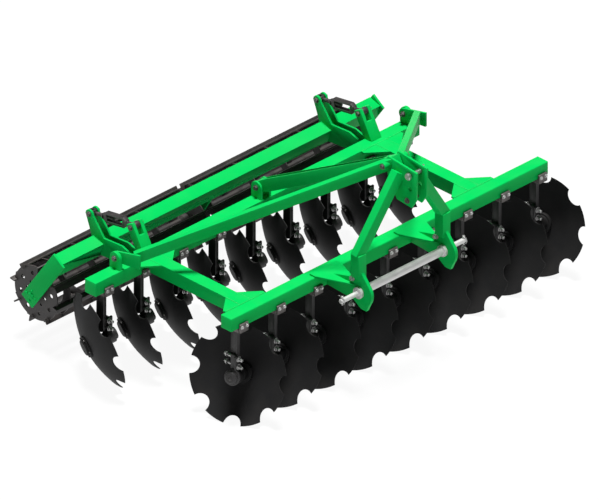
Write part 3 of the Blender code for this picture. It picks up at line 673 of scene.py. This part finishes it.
for row, master in (("front", stand), ("rear", other_stand)):
    for i in range(DISC_COUNT):
        piece = copied(master, f"{row}_stand_forging_{i + 1}", Matrix.Translation(disc_place(row, i)))
        settle(piece, "frame", None, "cast_black", f"{row}_stand_{i + 1}")
dropped(stand, other_stand)

# ---------------------------------------------------------------- lower link bar
# One round bar of plated steel through both hitch plates, with a collar welded on each side of each plate.
# Its ends are turned down to take the balls of the tractor's lower links, and linch pins keep those on.
BAR_X, BAR_Z = 0.285, -0.025
BAR_RADIUS, BAR_END = 0.023, 0.4685
LINK_PIN_RADIUS = 0.014
HITCH_Y, HITCH_THICK = 0.315, 0.020
BAR_COLLAR, BAR_COLLAR_LENGTH = 0.033, 0.018

plate_in, plate_out = HITCH_Y - HITCH_THICK / 2, HITCH_Y + HITCH_THICK / 2
collar_end, collar_start = plate_out + 0.0003 + BAR_COLLAR_LENGTH, plate_in - 0.0003 - BAR_COLLAR_LENGTH
half_bar = [(0.0, BAR_END), (0.0115, BAR_END), (LINK_PIN_RADIUS, BAR_END - 0.003),
            (LINK_PIN_RADIUS, collar_end + 0.003), (0.017, collar_end), (BAR_COLLAR - 0.002, collar_end),
            (BAR_COLLAR, collar_end - 0.002), (BAR_COLLAR, plate_out + 0.002),
            (BAR_COLLAR - 0.002, plate_out + 0.0003), (BAR_RADIUS, plate_out + 0.0003),
            (BAR_RADIUS, plate_in - 0.0003), (BAR_COLLAR - 0.002, plate_in - 0.0003),
            (BAR_COLLAR, plate_in - 0.002), (BAR_COLLAR, collar_start + 0.002),
            (BAR_COLLAR - 0.002, collar_start), (BAR_RADIUS + 0.003, collar_start),
            (BAR_RADIUS, collar_start - 0.003)]
link_bar = spun("lower_link_round_bar", half_bar + [(r, -z) for r, z in reversed(half_bar)], 48)
link_bar.data.transform(Matrix.Translation(on(BAR_X, 0, BAR_Z)) @ Matrix.Rotation(math.pi / 2, 4, "X"))
for sign in (-1, 1):
    hole_y = sign * (BAR_END - 0.014)
    link_bar = cut(link_bar, cylinder("hole", on(BAR_X, hole_y, BAR_Z - 0.03),
                                      on(BAR_X, hole_y, BAR_Z + 0.03), 0.0053, 20))
bpy.ops.object.shade_smooth_by_angle(angle=math.radians(30))
plated_bar = coated_metal("plated_bar", (0.74, 0.74, 0.73), (0.62, 0.62, 0.61), (0.85, 0.85, 0.84), 0.42,
                          metal=0.35, patch=14.0, skin=2600.0, skin_height=0.00002, reach=0.0015, wear=0.4,
                          dust=0.04, contrast=1.0)
settle(link_bar, "frame", plated_bar, "bright_steel", "lower_link_bar")

linch = []
for sign in (-1, 1):
    y = sign * (BAR_END - 0.014)
    linch.append(cylinder("linch", on(BAR_X, y, BAR_Z - 0.026), on(BAR_X, y, BAR_Z + 0.019), 0.0045, 16,
                          0.001))
    linch.append(cylinder("linch_head", on(BAR_X, y, BAR_Z + 0.015), on(BAR_X, y, BAR_Z + 0.029), 0.0085, 20,
                          0.002))
    ring = [on(BAR_X + 0.021 * math.sin(t), y + sign * 0.004 * math.sin(t),
               BAR_Z + 0.001 - 0.0215 * math.cos(t))
            for t in (math.pi * (0.04 + 0.92 * k / 8) for k in range(9))]
    linch.append(swept("linch_ring", ring, 0.0016, 8))
settle(joined("linch_pins", in_finish(linch, zinc_plate)), "frame", None, "bright_steel")

# ---------------------------------------------------------------- mast and stay fixings
# The mast's two plates are bolted to the centre brace and carry the top link's pin between them. The pin has
# a turned head and a linch pin. Each stay is bolted to the mast through a bush, and to a lug on the rear
# beam.
TOP_PIN = (0.381, 0.611)
MAST_BOLTS = [(0.222, 0.622), (0.362, 0.452)]
MAST_OUT = 0.044
LUG_PIN = (REAR_X - 0.003, 0.062)
STAY_LUG_Y = 1.088
HITCH_BOLT = (0.229, 0.039)
BUSH_LENGTH = 0.046

fixings = []
for x, z in MAST_BOLTS:
    fixings += ends_of([(on(x, -MAST_OUT, z), (0, -1, 0), 2 * MAST_OUT, 0.0135, True)])
    fixings.append(cylinder("spacer", on(x, -0.0315, z), on(x, 0.0315, z), 0.011, 24))
for sign in (-1, 1):
    seat = on(LUG_PIN[0], sign * (STAY_LUG_Y + 0.010), LUG_PIN[1])
    fixings += ends_of([(seat, (0, sign, 0), 0.0325, 0.0135, True)])
fixings += ends_of([(on(LUG_PIN[0], -0.0375, LUG_PIN[1]), (0, -1, 0), 0.075, 0.0135, True)])
hitch_bolts, bushes = [], []
for sign in (-1, 1):
    seat = on(HITCH_BOLT[0], sign * (HITCH_Y + HITCH_THICK / 2), HITCH_BOLT[1])
    hitch_bolts += ends_of([(seat, (0, sign, 0), HITCH_THICK, 0.0140, True)])
    bush_end = on(MAST_BOLTS[0][0], sign * (MAST_OUT + BUSH_LENGTH), MAST_BOLTS[0][1])
    bushes.append(cylinder("stay_bush", on(MAST_BOLTS[0][0], sign * (MAST_OUT + 0.002), MAST_BOLTS[0][1]),
                           bush_end, 0.020, 32, 0.002))
    fixings += ends_of([(bush_end, (0, sign, 0), 0.02, 0.0125, False)])
settle(joined("frame_bolts", in_finish(fixings, clamp_steel)), "frame", None, "dark_steel")
settle(joined("hitch_bolts", in_finish(hitch_bolts, zinc_plate)), "frame", None, "bright_steel")
settle(joined("stay_bushes", in_finish(bushes, green_enamel)), "frame", None, "green_paint")

pin = spun("top_pin_turning", [(0.0, 0.066), (0.009, 0.066), (0.0125, 0.063), (0.0125, -0.048),
                               (0.019, -0.049), (0.020, -0.051),
                               (0.020, -0.062), (0.017, -0.066), (0.0, -0.066)], 40)
pin.data.transform(Matrix.Translation(on(TOP_PIN[0], 0, TOP_PIN[1])) @ Matrix.Rotation(-math.pi / 2, 4, "X"))
clip = cylinder("top_pin_clip", on(TOP_PIN[0], 0.055, TOP_PIN[1] - 0.024),
                on(TOP_PIN[0], 0.055, TOP_PIN[1] + 0.022), 0.0035, 14, 0.001)
clip_head = cylinder("clip_head", on(TOP_PIN[0], 0.055, TOP_PIN[1] + 0.019),
                     on(TOP_PIN[0], 0.055, TOP_PIN[1] + 0.029), 0.0072, 18, 0.0015)
settle(joined("top_link_pin_set", in_finish([pin, clip, clip_head], zinc_plate)), "frame", None,
       "bright_steel", "top_link_pin")

# ---------------------------------------------------------------- weld beads
# The tubes and plates are joined by hand-laid fillet welds under the enamel. A bead has a ripple every few
# millimetres along a straight seam between two points.
RIPPLE = 0.0045
BEAD = 0.0038
GUSSET_SIDE, GUSSET_THICK = 0.108, 0.010


def bead(start, end, size=BEAD):
    """A rippled bead from one point to another."""
    line = end - start
    steps = max(4, int(line.length / RIPPLE))
    profile = [(0.0, 0.0)]
    for k in range(steps):
        z = line.length * k / steps
        profile += [(size * 0.72, z + 0.0005), (size, z + line.length / steps * 0.5)]
    profile += [(size * 0.6, line.length - 0.0005), (0.0, line.length)]
    weld = spun("bead", profile, 8)
    weld.data.transform(Matrix.Translation(start) @ line.to_track_quat("Z", "Y").to_matrix().to_4x4())
    return weld


beads = []
for side in ("left", "right"):
    low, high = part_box(f"side_member_{side}")
    middle, top = (low.y + high.y) / 2, high.z - 0.001
    for x, inward in ((low.x, 1), (high.x, -1)):
        beads.append(bead(Vector((x, low.y + 0.003, top)), Vector((x, high.y - 0.003, top)), 0.003))
        for y in (middle - BEAM_SIDE / 2, middle + BEAM_SIDE / 2):
            beads.append(bead(Vector((x, y, low.z + 0.004)), Vector((x, y, top - GUSSET_THICK))))
            far_end = Vector((x + inward * (GUSSET_SIDE - 0.004), y, top))
            beads.append(bead(Vector((x, y, top)), far_end, 0.003))
settle(joined("weld_beads", in_finish(beads, green_enamel)), "frame", None, "green_paint")

# ---------------------------------------------------------------- centre brace
# A channel folded from plate, open upwards, from the clevis on the rear beam to the mast. Both flanges taper
# towards the mast, and its ends are cut round where they are bolted.
BRACE_HALF = 0.025
BRACE_WALL = 0.005
brace = painted("center_brace", "center_brace_channel", 0.0012)
brace_rise = math.atan2(0.620 - LUG_PIN[1], 0.220 - LUG_PIN[0])
along = Vector((math.cos(brace_rise), 0.0, math.sin(brace_rise)))
upward = Vector((-math.sin(brace_rise), 0.0, math.cos(brace_rise)))
length = math.hypot(0.220 - LUG_PIN[0], 0.620 - LUG_PIN[1])
hollow_out = slab("hollow", (0.045, -BRACE_HALF + BRACE_WALL, -0.036 + BRACE_WALL + 0.002),
                  (length - 0.055, BRACE_HALF - BRACE_WALL, 0.08), 0.003)
frame_turn = Matrix((along, Vector((0, 1, 0)), upward)).transposed().to_4x4()
hollow_out.data.transform(Matrix.Translation(on(LUG_PIN[0], 0, LUG_PIN[1])) @ frame_turn)
brace = cut(brace, hollow_out)
bpy.ops.object.shade_smooth_by_angle(angle=math.radians(38))
drain = [cylinder("drain", on(*(Vector((LUG_PIN[0], 0, LUG_PIN[1])) + along * d - upward * 0.05)),
                  on(*(Vector((LUG_PIN[0], 0, LUG_PIN[1])) + along * d + upward * 0.01)), 0.009, 24)
         for d in (0.14, 0.62)]
for hole in drain:
    brace = cut(brace, hole)

# ---------------------------------------------------------------- roller linkage fixings
# The roller frame swings on a thick pivot bolt through each bracket. Each post holds the turnbuckle's front
# eye on a pin, and the paired plates hold its rear eye on another.
LINK_Y = 0.853
PIVOT = (REAR_X - 0.090, -0.080)
POST_PIN = (REAR_X - 0.090, 0.130)
HORN_PIN = (REAR_X - 0.410, 0.080)
PLATES_OUT = 0.0295
ROLLER_AXLE = (REAR_X - 0.525, -0.335)
ARM_OUT = 1.190 + 0.0003 + 0.014

swing, fixed = [], []
for sign in (-1, 1):
    for (x, z), half in ((PIVOT, 0.0150), (HORN_PIN, 0.0125)):
        swing += ends_of([(on(x, sign * LINK_Y - PLATES_OUT, z), (0, -1, 0), 2 * PLATES_OUT, half, True)])
    fixed += ends_of([(on(POST_PIN[0], sign * LINK_Y - 0.038, POST_PIN[1]), (0, -1, 0), 0.076, 0.0125, True)])
settle(joined("pivot_bolts", in_finish(swing, clamp_steel)), "roller_frame", None, "dark_steel")
settle(joined("post_pins", in_finish(fixed, clamp_steel)), "frame", None, "dark_steel")

bearings = []
for sign in (-1, 1):
    y = sign * ARM_OUT
    for k in range(4):
        a = math.radians(45 + 90 * k + 30)
        seat = on(ROLLER_AXLE[0] + 0.034 * math.cos(a), y, ROLLER_AXLE[1] + 0.034 * math.sin(a))
        bearings += ends_of([(seat, (0, sign, 0), 0.0, 0.0062, False)])
    cover = cylinder("bearing_cover", on(ROLLER_AXLE[0], y, ROLLER_AXLE[1]),
                     on(ROLLER_AXLE[0], y + sign * 0.004, ROLLER_AXLE[1]), 0.020, 32, 0.0012)
    bearings.append(cover)
settle(joined("roller_bearings", in_finish(bearings, green_enamel)), "roller_frame", None, "green_paint")

# ---------------------------------------------------------------- turnbuckles
# Each is a forged body with a long window, screwed at its rear end on to a threaded rod with an eye. A lock
# nut stops it from turning by itself. The forging is left in oil, without paint.
SCREW_PITCH = 0.0042
SCREW_RADIUS = 0.011
BODY_END = 0.235
for side, sign in (("left", 1), ("right", -1)):
    body = rounded(welded_copy(f"turnbuckle_{side}", f"turnbuckle_forging_{side}"), 0.0035)
    settle(body, f"turnbuckle_{side}", oiled_steel, "dark_steel", f"turnbuckle_{side}")
    start, end = on(POST_PIN[0], sign * LINK_Y, POST_PIN[1]), on(HORN_PIN[0], sign * LINK_Y, HORN_PIN[1])
    reach = (end - start).length
    turn = (end - start).to_track_quat("Z", "Y").to_matrix().to_4x4()
    first, last = 0.161, reach - 0.018
    turns = int((last - first - 0.016) / SCREW_PITCH)
    thread = [(0.0, first), (0.007, first), (0.0095, first + 0.003)]
    for k in range(turns):
        z = first + 0.004 + SCREW_PITCH * k
        thread += [(SCREW_RADIUS, z + 0.0008), (SCREW_RADIUS, z + 0.0016),
                   (SCREW_RADIUS - 0.0016, z + 0.0034)]
    thread += [(0.0098, last - 0.008), (0.0098, last), (0.0, last)]
    rod = spun("threaded_rod", thread, 20)
    lock = copied(bolt_head, f"lock_nut_{side}", Matrix.Translation(start) @ turn
                  @ Matrix.Translation((0, 0, BODY_END + 0.0005)) @ Matrix.Scale(0.0155, 4))
    settle(lock, f"turnbuckle_{side}", oiled_steel, "dark_steel")
    eye = spun("eye", [(0.0085, -0.0168), (0.0215, -0.0168), (0.023, -0.0150), (0.023, 0.0150),
                       (0.0215, 0.0168), (0.0085, 0.0168), (0.0085, -0.0168)], 36)
    eye.data.transform(Matrix.Translation((0, 0, reach)) @ Matrix.Rotation(math.pi / 2, 4, "X"))
    screw = joined(f"turnbuckle_rod_{side}", in_finish([rod, eye], oiled_steel))
    screw.data.transform(Matrix.Translation(start) @ turn)
    settle(screw, f"turnbuckle_screw_{side}", None, "dark_steel", f"turnbuckle_screw_{side}")

# ---------------------------------------------------------------- roller drums
# Two cages of angle bars let into the rims of ring plates and welded. The end plates are pierced with small
# round holes, the rings between are open, and the bars stand out a little past the end plates. The rims of
# the rings and bars are scoured by soil, and the rest has dark paint.
CAGE_RADIUS = 0.178
RIM_RADIUS = 0.160
BAR_COUNT = 8
BAR_PHASE = math.radians(-10.0)
BAR_DEEP, BAR_WIDE = 0.034, 0.009
ANGLE_LEG = 0.042
SHAFT_RADIUS = 0.030
CAGE_IN, CAGE_OUT = 0.013, 1.1843
SHAFT_IN, SHAFT_OUT = 0.0075, 1.1898
END_INSET = 0.020
RING_PLACES = (0.36, 0.60, 0.84, 1.06)
roller_paint = coated_metal("roller_paint", (0.042, 0.038, 0.038), (0.026, 0.023, 0.023),
                            (0.150, 0.140, 0.135), 0.50, metal=0.15, patch=12.0, skin=900.0,
                            skin_height=0.00006, reach=0.004,
                            wear=0.8, dust=0.08)


def ring_plate(y, thick, inner):
    """One ring about the drum's axis, drawn along Y."""
    ring = spun("ring", [(inner, y), (RIM_RADIUS - 0.001, y), (RIM_RADIUS, y + 0.001),
                         (RIM_RADIUS, y + thick - 0.001), (RIM_RADIUS - 0.001, y + thick), (inner, y + thick),
                         (inner, y)], 64)
    ring.data.transform(Matrix.Rotation(-math.pi / 2, 4, "X"))
    return ring


def end_plate(y, thick):
    """A full plate with two circles of holes."""
    plate = ring_plate(y, thick, SHAFT_RADIUS - 0.002)
    holes = [cylinder("hole", (r * math.cos(a), y - 0.02, r * math.sin(a)),
                      (r * math.cos(a), y + thick + 0.02, r * math.sin(a)), size, 24)
             for r, size, shift in ((0.116, 0.013, 0.0), (0.066, 0.009, 0.5))
             for a in (2 * math.pi * (k + shift) / 8 + BAR_PHASE + math.pi / 8 for k in range(8))]
    plate = cut(plate, joined("holes", holes))
    bpy.ops.object.shade_smooth_by_angle(angle=math.radians(30))
    return plate


half_shaft = [(0.0, SHAFT_IN), (SHAFT_RADIUS - 0.002, SHAFT_IN), (SHAFT_RADIUS, SHAFT_IN + 0.002),
              (SHAFT_RADIUS, CAGE_IN + 0.060), (SHAFT_RADIUS * 0.5, CAGE_IN + 0.075),
              (SHAFT_RADIUS * 0.5, CAGE_OUT - 0.075), (SHAFT_RADIUS, CAGE_OUT - 0.060),
              (SHAFT_RADIUS, SHAFT_OUT - 0.002), (SHAFT_RADIUS - 0.002, SHAFT_OUT), (0.0, SHAFT_OUT)]
shaft = spun("shaft", half_shaft, 36)
shaft.data.transform(Matrix.Rotation(-math.pi / 2, 4, "X"))
cage = [shaft, end_plate(CAGE_IN + END_INSET, 0.008), end_plate(CAGE_OUT - END_INSET - 0.008, 0.008)]
cage += [ring_plate(y, 0.008, 0.108) for y in RING_PLACES]
for k in range(BAR_COUNT):
    flat = slab("standing_leg", (CAGE_RADIUS - BAR_DEEP, CAGE_IN, -BAR_WIDE / 2),
                (CAGE_RADIUS, CAGE_OUT, BAR_WIDE / 2), 0.0015)
    leg = slab("lying_leg", (RIM_RADIUS - 0.006, CAGE_IN + END_INSET + 0.001, -ANGLE_LEG),
               (RIM_RADIUS + 0.002, CAGE_OUT - END_INSET - 0.001, 0.002 - BAR_WIDE / 2), 0.0015)
    for part in (flat, leg):
        part.data.transform(Matrix.Rotation(-(BAR_PHASE + 2 * math.pi * k / BAR_COUNT), 4, "Y"))
    cage += [flat, leg]
drum = joined("roller_cage", in_finish(cage, roller_paint))
for side, turn in (("left", Matrix()), ("right", Matrix.Scale(-1, 4, (0, 1, 0)))):
    place = Matrix.Translation(on(ROLLER_AXLE[0], 0, ROLLER_AXLE[1])) @ turn
    piece = copied(drum, f"roller_cage_{side}", place)
    if side == "right":
        piece.data.flip_normals()
    settle(piece, f"roller_drum_{side}", None, "roller_grey", f"roller_drum_{side}")
dropped(drum)

dropped(bolt_head, bolt_nut)
